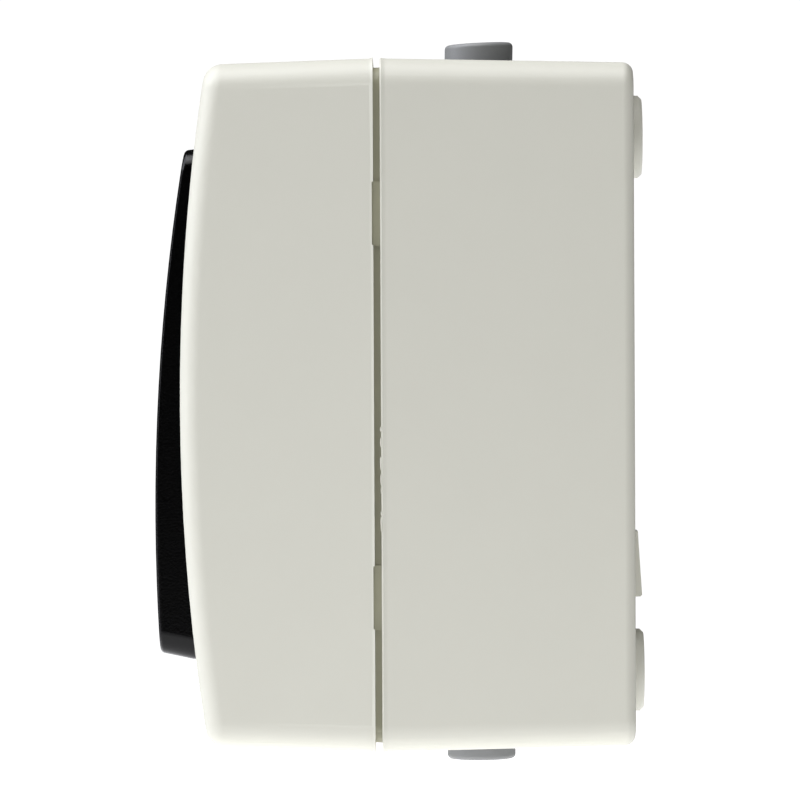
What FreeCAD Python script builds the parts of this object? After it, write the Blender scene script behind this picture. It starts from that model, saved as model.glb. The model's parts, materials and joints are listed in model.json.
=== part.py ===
"""Surface-mounted weatherproof rocker switch, built piece by piece in millimetres.

The wall is the plane Y = 0 and the front of the switch faces -Y, with +Z up.
The origin is the centre of the four wall screws, on the wall plane.
Depth below means the distance out from the wall, so a depth of 10 is Y = -10.
The two-way insert sits on two bosses of the back box, and its cradle carries the rocker.
"""

import os
from math import cos, radians, sin, tan

import FreeCAD
import Part

Vector = FreeCAD.Vector

# Housing outline, widest where the box and the cover meet
width = 66.0
height = 75.0
corner_radius = 3.0
wall = 2.5
inner_corner_radius = 1.0

# Back box
foot_height = 1.1
box_depth = 27.4
box_draft = 1.1
rear_edge_radius = 1.2
rim_edge_chamfer = 0.15

# Front cover
parting_gap = 0.75
cover_depth = 21.0
cover_draft = 1.8
front_radius = 236.0
front_edge_radius = 2.2
rim_flare = 0.12
flare_length = 0.6

# Lap joint between box and cover, with its gasket
shoulder = 1.1
spigot_height = 3.5
lap_clearance = 0.15
gasket_thickness = 1.4
gasket_clearance = 0.05

# Latches that hold the cover on the box
latch_height = 20.7
latch_pad_width = 6.8
latch_pad_rise = 0.3
latch_pad_length = 2.6
latch_notch = 0.15
hook_width = 6.0
hook_thickness = 1.5
hook_gap = 0.3
hook_reach = 0.9
hook_drop = 2.5
hook_ramp = 2.4
hook_land = 0.5
hook_root_length = 5.0
hook_pocket_depth = 1.2
hook_clearance = 0.1

# Wall fixing
foot_radius = 4.5
foot_edge_chamfer = 0.4
screw_from_side = 9.0
screw_from_end = 8.4
wall_screw_radius = 2.25
collar_height = 1.4

# Ramp catches on the rear wall
catch_width = 5.0
catch_length = 7.1
catch_above_foot = 3.7
catch_low_rise = 0.4
catch_high_rise = 0.85
catch_edge_chamfer = 0.2

# Rear cable knock-out
knockout_radius = 8.0
knockout_groove = 0.9
knockout_depth = 1.4

# Cable entries and their grommets
entry_from_rim = 11.1
entry_radius = 7.2
grommet_flange_radius = 8.5
grommet_flange_thickness = 0.9
grommet_inner_lip = 1.2
grommet_skin = 0.9
grommet_nose_radius = 3.85
grommet_nose_height = 3.25
grommet_nose_edge_radius = 0.5
grommet_lead_in = 0.4
grommet_step = 0.5
grommet_clearance = 0.05
nose_slope_top = 3.8
nose_slope_bottom = 0.8

# Rocker and its opening in the cover
frame_margin = 9.35
rocker_clearance = 0.6
rocker_proud = 2.75
rocker_radius = 240.0
rocker_corner_radius = 2.6
rocker_draft = 8.5
rocker_edge_radius = 0.6
rocker_skin = 2.0
rocker_side_wall = 1.8
rocker_skirt = 6.0
rocker_drafted_length = 3.6
rocker_rib = 1.2
rocker_rib_spacing = 13.0
tilt = 3.0
pan_wall = 1.6
pan_depth = 10.25
window_edge_chamfer = 0.35

# Pivot of rocker and cradle, measured in from the rocker's front
pivot_from_front = 9.4
trunnion_radius = 1.8
trunnion_length = 3.2
pivot_clearance = 0.05
side_clearance = 0.3
ear_thickness = 3.2
ear_radius = 3.2
snap_slot = 3.2

# Cradle
cradle_room = 0.5
plate_thickness = 2.8
plate_from_pivot = 3.0
hub_height = 9.0
hub_below_pivot = 2.6
stem_radius = 3.7
stem_bore_radius = 2.3
stem_length = 12.6
bore_above_pivot = 1.9
leg_thickness = 1.6
leg_width = 10.0
leg_hook = 1.0
leg_seat = 0.1

# Plunger and its spring
plunger_clearance = 0.1
plunger_body = 3.0
plunger_tip_radius = 1.5
plunger_reach = 2.7
spring_wire = 0.5
spring_turns = 6

# Insert, with its cap, seal and screws
insert_width = 34.0
insert_height = 50.0
insert_corner_radius = 2.0
insert_depth = 16.4
seal_thickness = 1.0
seal_clearance = 0.2
seal_width_x = 2.5
seal_width_z = 2.0
cap_thickness = 3.0
cap_corner_radius = 3.0
cap_from_end = 7.2
cap_from_side = 2.6
stem_room_x = 0.6
stem_room_z = 1.7
lug_thickness = 3.0
lug_radius = 3.4
boss_from_wall = 5.1
boss_radius = 3.2
boss_rib = 2.0
pilot_depth = 11.0
insert_screw_radius = 1.4
insert_screw_length = 12.0
insert_screw_head_radius = 2.7
insert_screw_head_height = 2.2
cap_screw_radius = 1.1
cap_screw_length = 8.0
cap_screw_head_radius = 2.0
cap_screw_head_height = 1.2
cap_screw_from_side = 3.3
cap_screw_from_end = 5.2
screw_clearance = 0.1
screw_slot_width = 0.8
screw_slot_depth = 1.0

# Contacts
strip_thickness = 0.8
strip_width = 5.0
strip_clearance = 0.1
chamber_wall = 3.0
chamber_side_wall = 6.9
lever_thickness = 1.0
lever_width = 6.0
lever_end_room = 3.8
lever_tilt = 5.0
plunger_gap = 0.15
knife_nose_radius = 0.4
knife_clearance = 0.05
knife_thickness = 1.6
tip_radius = 1.75
tip_height = 1.0
tip_from_end = 1.6
tip_gap = 0.1

# Terminals
terminal_width = 7.0
terminal_height = 6.4
terminal_depth = 7.2
terminal_clearance = 0.15
terminal_from_end = 4.4
wire_hole_radius = 1.6
terminal_screw_radius = 1.6
terminal_screw_length = 4.2
terminal_screw_raise = 1.2
terminal_screw_head_radius = 2.3
terminal_screw_head_height = 1.4
common_from_side = 5.5

# Depths and half sizes that follow from the sizes above
half_width = width / 2
half_height = height / 2
box_rear = foot_height
box_floor = box_rear + wall
box_rim = box_rear + box_depth
cover_rim = box_rim + parting_gap
cover_front = cover_rim + cover_depth
spigot_tip = box_rim + spigot_height
cover_ledge = spigot_tip + gasket_thickness
lap_wall = shoulder - lap_clearance
inner_half_width = half_width - wall
hook_catch = box_rim - hook_drop
entry_depth = box_rim - entry_from_rim
screw_x = half_width - screw_from_side
screw_z = half_height - screw_from_end
catch_low = screw_z - foot_radius - catch_above_foot

rocker_width = width - 2 * frame_margin
rocker_height = height - 2 * frame_margin
window_width = rocker_width + 2 * rocker_clearance
window_height = rocker_height + 2 * rocker_clearance
window_corner_radius = rocker_corner_radius + rocker_clearance
rocker_front = cover_front + rocker_proud
rocker_end_front = rocker_front - (rocker_height / 2) ** 2 / (2 * rocker_radius)
rocker_shoulder = rocker_end_front - rocker_drafted_length
rocker_base = rocker_end_front - rocker_skirt
pan_floor = cover_front - pan_depth
pan_under = pan_floor - pan_wall

pivot_depth = rocker_front - pivot_from_front
plate_under = pivot_depth + plate_from_pivot
plate_front = plate_under + plate_thickness
stem_end = pivot_depth - stem_length
plunger_tip = stem_end - plunger_reach

cap_front = pan_under - seal_thickness
insert_front = cap_front - cap_thickness
insert_rear = insert_front - insert_depth
insert_half_width = insert_width / 2
insert_half_height = insert_height / 2
cap_half_width = insert_half_width - cap_from_side
cap_half_height = insert_half_height - cap_from_end
neck_half_width = cap_half_width - seal_width_x - 2 * seal_clearance
neck_half_height = cap_half_height - seal_width_z - 2 * seal_clearance
plate_half_height = neck_half_height - rocker_clearance
cradle_half_width = neck_half_width - cradle_room - ear_thickness - side_clearance
boss_x = inner_half_width - boss_from_wall

lever_front = plunger_tip - plunger_gap
lever_pivot = lever_front - lever_thickness
lever_half_length = cap_half_height - chamber_wall - lever_end_room
tip_z = lever_half_length - tip_from_end
strip_front = (
    lever_pivot
    - tip_height * cos(radians(lever_tilt))
    - (tip_z + tip_radius) * sin(radians(lever_tilt))
    - tip_gap
    - tip_height
)
chamber_floor = strip_front - strip_thickness
chamber_half_height = cap_half_height - chamber_wall
chamber_half_width = cap_half_width - chamber_side_wall
common_terminal_x = insert_half_width - common_from_side
terminal_z = insert_half_height - terminal_from_end


def point(x, z, depth):
    """A point given as seen from the front, and its distance out from the wall."""
    return Vector(x, -depth, z)


def rounded_outline(wide, high, radius, depth, x=0.0, z=0.0):
    """Closed rounded rectangle parallel to the wall."""
    edges = []
    corners = [(1, 1, 0), (-1, 1, 90), (-1, -1, 180), (1, -1, 270)]
    ends = []
    for side_x, side_z, start in corners:
        centre_x = x + side_x * (wide / 2 - radius)
        centre_z = z + side_z * (high / 2 - radius)
        arc = [
            point(
                centre_x + radius * cos(radians(start + turn)),
                centre_z + radius * sin(radians(start + turn)),
                depth,
            )
            for turn in (0, 45, 90)
        ]
        ends.append((arc[0], arc[2]))
        edges.append(Part.Arc(*arc).toShape())
    for number, (_, last) in enumerate(ends):
        first = ends[(number + 1) % len(ends)][0]
        edges.insert(2 * number + 1, Part.LineSegment(last, first).toShape())
    return Part.Wire(edges)


def drafted(low_size, low, top_size, top, radius):
    """Block with flat drafted sides and rounded corners between two depths."""
    low_x, low_z = (size / 2 for size in low_size)
    top_x, top_z = (size / 2 for size in top_size)
    shape = Part.makeWedge(
        -top_x, -top, -top_z, -low_z, -low_x, top_x, -low, top_z, low_z, low_x
    )
    corners = [
        edge for edge in shape.Edges if edge.BoundBox.YLength > (top - low) / 2
    ]
    return shape.makeFillet(radius, corners)


def prism(wide, high, radius, low, top, x=0.0, z=0.0):
    """Straight rounded block between two depths."""
    face = Part.Face(rounded_outline(wide, high, radius, low, x, z))
    return face.extrude(Vector(0, low - top, 0))


def block(x_range, z_range, depth_range):
    """Plain block from its ranges, as seen from the front."""
    low_x, high_x = sorted(x_range)
    low_z, high_z = sorted(z_range)
    low, top = sorted(depth_range)
    return Part.makeBox(
        high_x - low_x, top - low, high_z - low_z, Vector(low_x, -top, low_z)
    )


def post(radius, low, top, x=0.0, z=0.0):
    """Round post standing out from the wall."""
    return Part.makeCylinder(radius, top - low, point(x, z, low), Vector(0, -1, 0))


def cross_pin(radius, low_x, high_x, depth, z=0.0):
    """Round pin from side to side."""
    return Part.makeCylinder(
        radius, high_x - low_x, point(low_x, z, depth), Vector(1, 0, 0)
    )


def barrel(radius, apex):
    """Large round form, bent from top to bottom, whose front line is at a depth."""
    return cross_pin(radius, -width, width, apex - radius)


def side_profile(corners, low_x, high_x):
    """Solid from an outline of (z, depth) corners, carried from side to side."""
    points = [point(low_x, z, depth) for z, depth in corners]
    face = Part.Face(Part.makePolygon(points + points[:1]))
    return face.extrude(Vector(high_x - low_x, 0, 0))


def top_profile(corners, low_z, high_z):
    """Solid from an outline of (x, depth) corners, carried upwards."""
    points = [point(x, low_z, depth) for x, depth in corners]
    face = Part.Face(Part.makePolygon(points + points[:1]))
    return face.extrude(Vector(0, 0, high_z - low_z))


def joined(shapes):
    """One solid made of overlapping shapes."""
    first, *others = shapes
    return first.fuse(others).removeSplitter() if others else first


def without(shape, cutters):
    """Shape with every cutter taken away."""
    return shape.cut(cutters)


def edges_at_depth(shape, depth, reach=1e-4):
    """Edges that lie flat in one plane parallel to the wall."""
    return [
        edge
        for edge in shape.Edges
        if abs(edge.BoundBox.YMin + depth) < reach
        and abs(edge.BoundBox.YMax + depth) < reach
    ]


def edges_on_barrel(shape, radius, apex, reach=1e-3):
    """Edges all of whose points lie on the large round form."""
    centre = apex - radius

    def lies_on(spot):
        return abs((spot.z**2 + (-spot.y - centre) ** 2) ** 0.5 - radius) < reach

    return [
        edge
        for edge in shape.Edges
        if all(lies_on(spot) for spot in edge.discretize(Number=5))
    ]


def tilted(shape, degrees, depth):
    """Shape turned about a side-to-side axis at a depth."""
    turned = shape.copy()
    turned.rotate(point(0, 0, depth), Vector(1, 0, 0), degrees)
    return turned


def box_size(full, depth):
    """Outside width or height of the box at a depth, with its moulding draft."""
    return full - 2 * (box_rim - depth) * tan(radians(box_draft))


def cover_size(full, depth):
    """Outside width or height of the cover at a depth, with its moulding draft."""
    return full - 2 * (depth - cover_rim) * tan(radians(cover_draft))


def rocker_size(full, depth):
    """Width or height of the rocker's drafted sides at a depth."""
    return full - 2 * (depth - rocker_shoulder) * tan(radians(rocker_draft))


def screw(x, z, seat, radius, length, head_radius, head_height):
    """Slotted pan-head screw driven in from the front, its head on a seat."""
    head = post(head_radius, seat, seat + head_height, x, z)
    head = head.makeChamfer(
        head_height / 3, edges_at_depth(head, seat + head_height)
    )
    shank = post(radius, seat - length, seat + head_height / 2, x, z)
    slot = block(
        (x - head_radius - 1, x + head_radius + 1),
        (z - screw_slot_width / 2, z + screw_slot_width / 2),
        (seat + head_height - screw_slot_depth, seat + head_height + 1),
    )
    return without(joined([head, shank]), [slot])


def wall_screw_places():
    """The four wall screws, as (x, z)."""
    return [(x, z) for x in (-screw_x, screw_x) for z in (-screw_z, screw_z)]


def latch_places():
    """The four latches, as (side, z)."""
    return [(side, z) for side in (-1, 1) for z in (-latch_height, latch_height)]


def on_entry(shape, side):
    """Shape built about +Z on a wall face at z = 0, moved to the top or bottom entry."""
    placed = shape.copy()
    turn = -box_draft if side > 0 else 180 + box_draft
    placed.rotate(Vector(0, 0, 0), Vector(1, 0, 0), turn)
    placed.translate(point(0, side * box_size(height, entry_depth) / 2, entry_depth))
    return placed


def box_shell():
    """Moulded shell of the box with its stepped rim."""
    outer = drafted(
        (box_size(width, box_rear), box_size(height, box_rear)),
        box_rear,
        (width, height),
        box_rim,
        corner_radius,
    )
    outer = outer.makeFillet(rear_edge_radius, edges_at_depth(outer, box_rear))
    outer = outer.makeChamfer(rim_edge_chamfer, edges_at_depth(outer, box_rim))
    spigot = prism(
        width - 2 * shoulder,
        height - 2 * shoulder,
        corner_radius - shoulder,
        box_rim - shoulder,
        spigot_tip,
    )
    inner_width = width - 2 * wall
    inner_height = height - 2 * wall
    beyond = spigot_tip + 1
    cavity = drafted(
        (box_size(inner_width, box_floor), box_size(inner_height, box_floor)),
        box_floor,
        (box_size(inner_width, beyond), box_size(inner_height, beyond)),
        beyond,
        inner_corner_radius,
    )
    pads = [
        block(
            (
                side * (half_width - shoulder - lap_wall / 2),
                side * (half_width - shoulder + latch_pad_rise),
            ),
            (z - latch_pad_width / 2, z + latch_pad_width / 2),
            (box_rim - shoulder, box_rim + latch_pad_length),
        )
        for side, z in latch_places()
    ]
    return without(joined([outer, spigot, *pads]), [cavity])


def rear_catch(side):
    """Shallow ramp on the rear wall that snaps over a mounting rail."""
    middle = side * (screw_x + foot_radius - catch_width / 2)
    ramp = side_profile(
        [
            (catch_length - catch_low, box_rear - catch_low_rise),
            (catch_length - catch_low, box_rear + wall / 2),
            (-catch_low, box_rear + wall / 2),
            (-catch_low, box_rear - catch_high_rise),
        ],
        middle - catch_width / 2,
        middle + catch_width / 2,
    )
    crest = edges_at_depth(ramp, box_rear - catch_high_rise)
    return ramp.makeChamfer(catch_edge_chamfer, crest)


def back_box():
    """Box that is screwed to the wall and holds everything else."""
    feet = []
    for x, z in wall_screw_places():
        foot = post(foot_radius, 0, box_floor + collar_height, x, z)
        feet.append(foot.makeChamfer(foot_edge_chamfer, edges_at_depth(foot, 0)))
    bosses = []
    for side in (-1, 1):
        bosses.append(
            post(boss_radius, box_floor - 1, insert_rear, side * boss_x, 0)
        )
        bosses.append(
            block(
                (side * boss_x, side * (box_size(width, box_floor) / 2 - wall / 2)),
                (-boss_rib / 2, boss_rib / 2),
                (box_floor - 1, insert_rear - lug_thickness),
            )
        )
    catches = [rear_catch(side) for side in (-1, 1)]
    body = joined([box_shell(), *feet, *bosses, *catches])

    holes = [
        post(wall_screw_radius, -1, box_floor + collar_height + 1, x, z)
        for x, z in wall_screw_places()
    ]
    pilots = [
        post(
            insert_screw_radius + screw_clearance,
            insert_rear - pilot_depth,
            insert_rear + 1,
            side * boss_x,
            0,
        )
        for side in (-1, 1)
    ]
    ring = without(
        post(knockout_radius, box_rear - 1, box_rear + knockout_depth),
        [post(knockout_radius - knockout_groove, box_rear - 1, box_floor)],
    )
    pockets = [
        block(
            (
                side * (inner_half_width - 1),
                side * (inner_half_width + hook_pocket_depth),
            ),
            (z - hook_width / 2 - hook_gap, z + hook_width / 2 + hook_gap),
            (hook_catch - hook_ramp - hook_gap, hook_catch + hook_clearance),
        )
        for side, z in latch_places()
    ]
    entries = [
        on_entry(
            Part.makeCylinder(entry_radius, 3 * wall, Vector(0, 0, -2 * wall)), side
        )
        for side in (-1, 1)
    ]
    return without(body, holes + pilots + [ring] + pockets + entries)


def cover_outside():
    """Outer form of the cover: drafted sides, flared rim and bent front."""
    beyond = cover_front + 1
    body = drafted(
        (width, height),
        cover_rim,
        (cover_size(width, beyond), cover_size(height, beyond)),
        beyond,
        corner_radius,
    ).common(barrel(front_radius, cover_front))
    rim = edges_on_barrel(body, front_radius, cover_front)
    body = body.makeFillet(front_edge_radius, rim)
    flare_end = cover_rim + flare_length
    flare = drafted(
        (width + 2 * rim_flare, height + 2 * rim_flare),
        cover_rim,
        (
            cover_size(width, flare_end) - rim_flare,
            cover_size(height, flare_end) - rim_flare,
        ),
        flare_end,
        corner_radius + rim_flare,
    )
    return joined([body, flare])


def cover_hook(side, z):
    """Sprung arm inside the cover whose barb catches in a pocket of the box."""
    inner = inner_half_width - hook_gap - hook_thickness
    outer = inner_half_width - hook_gap
    barb = outer + hook_reach
    profile = [
        (inner, hook_catch - hook_ramp),
        (outer, hook_catch - hook_ramp),
        (barb, hook_catch - hook_land),
        (barb, hook_catch),
        (outer, hook_catch),
        (outer, cover_ledge + hook_gap),
        (inner_half_width + 1, cover_ledge + hook_gap),
        (inner_half_width + 1, cover_ledge + hook_root_length),
        (inner, cover_ledge + hook_root_length),
    ]
    return top_profile(
        [(side * x, depth) for x, depth in profile],
        z - hook_width / 2,
        z + hook_width / 2,
    )


def front_cover():
    """Front cover with the rocker's window, the pan behind it and four hooks."""
    outside = cover_outside()
    inner_width = width - 2 * wall
    inner_height = height - 2 * wall
    cavity = drafted(
        (cover_size(inner_width, cover_ledge), cover_size(inner_height, cover_ledge)),
        cover_ledge,
        (cover_size(inner_width, cover_front), cover_size(inner_height, cover_front)),
        cover_front,
        inner_corner_radius,
    ).common(barrel(front_radius - wall, cover_front - wall))
    lap = prism(
        width - 2 * lap_wall,
        height - 2 * lap_wall,
        corner_radius - lap_wall,
        cover_rim - 1,
        cover_ledge,
    )
    pan = prism(
        window_width + 2 * pan_wall,
        window_height + 2 * pan_wall,
        window_corner_radius + pan_wall,
        pan_under,
        cover_front + 1,
    ).common(outside)
    hooks = [cover_hook(side, z) for side, z in latch_places()]
    body = joined([without(outside, [cavity, lap]), pan, *hooks])

    window = prism(
        window_width,
        window_height,
        window_corner_radius,
        pan_floor,
        cover_front + 1,
    )
    neck = prism(
        2 * neck_half_width,
        2 * neck_half_height,
        cap_corner_radius - seal_clearance,
        pan_under - 1,
        pan_floor + 1,
    )
    pad_rooms = []
    for side, z in latch_places():
        half_room = latch_pad_width / 2 + lap_clearance
        face = half_width - shoulder + latch_pad_rise + lap_clearance
        pad_rooms.append(
            block(
                (side * (half_width - lap_wall - 1), side * face),
                (z - half_room, z + half_room),
                (cover_rim - 1, box_rim + latch_pad_length + lap_clearance),
            )
        )
        pad_rooms.append(
            block(
                (side * (half_width - wall), side * (half_width + 1)),
                (z - latch_pad_width / 2, z + latch_pad_width / 2),
                (cover_rim - 1, cover_rim + latch_notch),
            )
        )
    body = without(body, [window, neck, *pad_rooms])
    return body.makeChamfer(window_edge_chamfer, window_rim(body))


def window_rim(body):
    """Edges where the window meets the bent front."""
    return [
        edge
        for edge in edges_on_barrel(body, front_radius, cover_front)
        if edge.BoundBox.XMax < window_width / 2 + 0.01
        and edge.BoundBox.XMin > -window_width / 2 - 0.01
        and abs(edge.BoundBox.ZMax) < window_height / 2 + 0.01
    ]


def rocker():
    """Rocker: a bent plate with a skirt, ribs and two legs that clip on the cradle."""
    beyond = rocker_front + 1
    straight = prism(
        rocker_width, rocker_height, rocker_corner_radius, rocker_base, beyond
    )
    crown = drafted(
        (rocker_size(rocker_width, rocker_base), rocker_size(rocker_height, rocker_base)),
        rocker_base,
        (rocker_size(rocker_width, beyond), rocker_size(rocker_height, beyond)),
        beyond,
        rocker_corner_radius,
    ).common(barrel(rocker_radius, rocker_front))
    body = straight.common(crown)
    rim = edges_on_barrel(body, rocker_radius, rocker_front)
    body = body.makeFillet(rocker_edge_radius, rim)

    inner_wide = rocker_width - 2 * rocker_side_wall
    inner_high = rocker_height - 2 * rocker_side_wall
    under_plate = barrel(rocker_radius - rocker_skin, rocker_front - rocker_skin)
    hollow = prism(
        inner_wide, inner_high, inner_corner_radius, rocker_base - 1, beyond
    ).common(under_plate)

    rib_low = plate_front + leg_seat
    ribs = [
        block(
            (x - rocker_rib / 2, x + rocker_rib / 2),
            (-inner_high / 2, inner_high / 2),
            (rib_low, rocker_front),
        )
        for x in (-rocker_rib_spacing / 2, rocker_rib_spacing / 2)
    ]
    ribs += [
        block(
            (-inner_wide / 2, inner_wide / 2),
            (z - rocker_rib / 2, z + rocker_rib / 2),
            (rib_low, rocker_front),
        )
        for z in (-rocker_rib_spacing, 0, rocker_rib_spacing)
    ]
    legs = []
    for side in (-1, 1):
        near = side * (plate_half_height + leg_seat)
        far = near + side * leg_thickness
        hook = side * (plate_half_height - leg_hook)
        half_leg = leg_width / 2
        foot_top = plate_under - leg_seat
        legs.append(
            block((-half_leg, half_leg), (near, far), (foot_top - 1, rocker_front))
        )
        legs.append(
            side_profile(
                [
                    (far, foot_top - leg_hook),
                    (far, foot_top),
                    (hook, foot_top),
                    (near, foot_top - leg_hook),
                ],
                -half_leg,
                half_leg,
            )
        )
    inside = [
        shape.common(barrel(rocker_radius - 1, rocker_front - 1))
        for shape in ribs + legs
    ]
    return joined([without(body, [hollow]), *inside])


def actuator_cradle():
    """Cradle that the rocker clips on: plate, hub, trunnions and a bored stem."""
    half = cradle_half_width
    pieces = [
        prism(
            2 * half,
            2 * plate_half_height,
            cap_corner_radius / 2,
            plate_under,
            plate_front,
        ),
        block(
            (-half, half),
            (-hub_height / 2, hub_height / 2),
            (pivot_depth - hub_below_pivot, plate_under + plate_thickness / 2),
        ),
        post(stem_radius, stem_end, pivot_depth),
        cross_pin(
            trunnion_radius,
            -half - trunnion_length,
            half + trunnion_length,
            pivot_depth,
        ),
    ]
    bore = post(stem_bore_radius, stem_end - 1, pivot_depth + bore_above_pivot)
    return without(joined(pieces), [bore])


def plunger():
    """Pin in the cradle's stem whose round nose drives the contact lever."""
    shaft = post(
        stem_bore_radius - plunger_clearance,
        plunger_tip + plunger_tip_radius + plunger_clearance,
        stem_end + plunger_body,
    )
    neck = post(plunger_tip_radius, plunger_tip + plunger_tip_radius, stem_end)
    ball = Part.makeSphere(
        plunger_tip_radius, point(0, 0, plunger_tip + plunger_tip_radius)
    )
    return joined([shaft, neck, ball])


def plunger_spring():
    """Coil spring of square wire between the plunger and the stem's blind end."""
    coil_radius = stem_bore_radius - plunger_clearance - spring_wire / 2
    low = stem_end + plunger_body + spring_wire / 2 + plunger_clearance
    top = pivot_depth + bore_above_pivot - spring_wire / 2 - plunger_clearance
    pitch = (top - low) / spring_turns
    path = Part.makeHelix(pitch, top - low, coil_radius)
    near = coil_radius - spring_wire / 2
    far = coil_radius + spring_wire / 2
    half = spring_wire / 2
    section = Part.makePolygon(
        [
            Vector(near, 0, -half),
            Vector(far, 0, -half),
            Vector(far, 0, half),
            Vector(near, 0, half),
            Vector(near, 0, -half),
        ]
    )
    coil = Part.Wire(path).makePipeShell([section], True, True)
    coil.rotate(Vector(0, 0, 0), Vector(1, 0, 0), 90)
    coil.translate(point(0, 0, low))
    return coil


def cap_screw_places():
    """The two screws that hold the cap on the insert, as (x, z)."""
    x = cap_half_width - cap_screw_from_side
    z = cap_half_height - cap_screw_from_end
    return [(-x, z), (x, -z)]


def insert_cap():
    """Cap of the insert: seal face, slot for the stem and two snap bearings."""
    plate = prism(
        2 * cap_half_width,
        2 * cap_half_height,
        cap_corner_radius,
        insert_front,
        cap_front,
    )
    ears = []
    mouths = []
    for side in (-1, 1):
        near = side * (cradle_half_width + side_clearance)
        far = near + side * ear_thickness
        low_x, high_x = sorted((near, far))
        ears.append(
            block(
                (near, far), (-ear_radius, ear_radius), (cap_front - 1, pivot_depth)
            )
        )
        ears.append(cross_pin(ear_radius, low_x, high_x, pivot_depth))
        mouths.append(
            cross_pin(
                trunnion_radius + pivot_clearance, low_x - 1, high_x + 1, pivot_depth
            )
        )
        mouths.append(
            block(
                (low_x - 1, high_x + 1),
                (-snap_slot / 2, snap_slot / 2),
                (pivot_depth, pivot_depth + ear_radius + 1),
            )
        )
    slot = prism(
        2 * (stem_radius + stem_room_x),
        2 * (stem_radius + stem_room_z),
        stem_radius,
        insert_front - 1,
        cap_front + 1,
    )
    holes = []
    for x, z in cap_screw_places():
        holes.append(
            post(
                cap_screw_radius + screw_clearance,
                insert_front - 1,
                cap_front + 1,
                x,
                z,
            )
        )
        holes.append(
            post(
                cap_screw_head_radius + screw_clearance,
                cap_front - cap_screw_head_height - screw_clearance,
                cap_front + 1,
                x,
                z,
            )
        )
    return without(joined([plate, *ears]), mouths + [slot] + holes)


def terminal_places():
    """Name, x and z of the three terminals."""
    return {
        "upper": (0.0, terminal_z),
        "lower": (0.0, -terminal_z),
        "common": (common_terminal_x, terminal_z),
    }


def insert_base():
    """Moulded base of the insert with the contact chamber and terminal pockets."""
    body = prism(
        2 * insert_half_width,
        2 * insert_half_height,
        insert_corner_radius,
        insert_rear,
        insert_front,
    )
    lugs = []
    lug_holes = []
    for side in (-1, 1):
        lug_top = insert_rear + lug_thickness
        lugs.append(post(lug_radius, insert_rear, lug_top, side * boss_x, 0))
        lugs.append(
            block(
                (side * (insert_half_width - 1), side * boss_x),
                (-lug_radius, lug_radius),
                (insert_rear, lug_top),
            )
        )
        lug_holes.append(
            post(
                insert_screw_radius + screw_clearance,
                insert_rear - 1,
                lug_top + 1,
                side * boss_x,
                0,
            )
        )
    chamber = block(
        (-chamber_half_width, chamber_half_width),
        (-chamber_half_height, chamber_half_height),
        (chamber_floor, insert_front + 1),
    )
    half_channel = strip_width / 2 + strip_clearance
    channels = [
        block(
            (-half_channel, half_channel),
            (-terminal_z, terminal_z),
            (chamber_floor, insert_front + 1),
        ),
        block(
            (0, common_terminal_x + half_channel),
            (-half_channel, half_channel),
            (chamber_floor, insert_front + 1),
        ),
        block(
            (common_terminal_x - half_channel, common_terminal_x + half_channel),
            (-half_channel, terminal_z),
            (chamber_floor, insert_front + 1),
        ),
    ]
    pockets = []
    half_wide = terminal_width / 2 + terminal_clearance
    half_high = terminal_height / 2 + terminal_clearance
    for x, z in terminal_places().values():
        outwards = 1 if z > 0 else -1
        pockets.append(
            block(
                (x - half_wide, x + half_wide),
                (z - half_high, z + half_high),
                (chamber_floor, insert_front + 1),
            )
        )
        pockets.append(
            Part.makeCylinder(
                wire_hole_radius + terminal_clearance,
                terminal_from_end + 1,
                point(x, z, strip_front + terminal_depth / 3),
                Vector(0, 0, outwards),
            )
        )
    pilots = [
        post(
            cap_screw_radius + screw_clearance,
            cap_front - cap_screw_head_height - cap_screw_length - 1,
            insert_front + 1,
            x,
            z,
        )
        for x, z in cap_screw_places()
    ]
    return without(
        joined([body, *lugs]), lug_holes + [chamber] + channels + pockets + pilots
    )


def fixed_contact(side):
    """Copper strip from the chamber to a terminal at the top or bottom."""
    return block(
        (-strip_width / 2, strip_width / 2),
        (
            side * (tip_z - tip_radius - strip_clearance),
            side * (terminal_z + terminal_height / 2),
        ),
        (chamber_floor, strip_front),
    )


def lever_support():
    """Copper bracket with the round-nosed edge that the lever rocks on, and its tail."""
    half = strip_width / 2
    pieces = [
        block(
            (-half, common_terminal_x + half),
            (-half, half),
            (chamber_floor, strip_front),
        ),
        block(
            (common_terminal_x - half, common_terminal_x + half),
            (-half, terminal_z + terminal_height / 2),
            (chamber_floor, strip_front),
        ),
        side_profile(
            [
                (-knife_thickness / 2, strip_front - strip_thickness / 2),
                (knife_thickness / 2, strip_front - strip_thickness / 2),
                (knife_thickness / 2, lever_pivot - knife_thickness),
                (knife_nose_radius, lever_pivot),
                (-knife_nose_radius, lever_pivot),
                (-knife_thickness / 2, lever_pivot - knife_thickness),
            ],
            -half,
            half,
        ),
        cross_pin(knife_nose_radius, -half, half, lever_pivot),
    ]
    return joined(pieces)


def contact_lever():
    """Copper lever whose half-round groove rocks on the bracket's edge."""
    plate = prism(
        lever_width,
        2 * lever_half_length,
        lever_width / 4,
        lever_pivot,
        lever_front,
    )
    groove = cross_pin(
        knife_nose_radius + knife_clearance, -lever_width, lever_width, lever_pivot
    )
    return without(plate, [groove])


def contact_tips(low, top):
    """Pair of silver contact tips between two depths."""
    return Part.makeCompound(
        [post(tip_radius, low, top, 0, side * tip_z) for side in (-1, 1)]
    )


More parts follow.
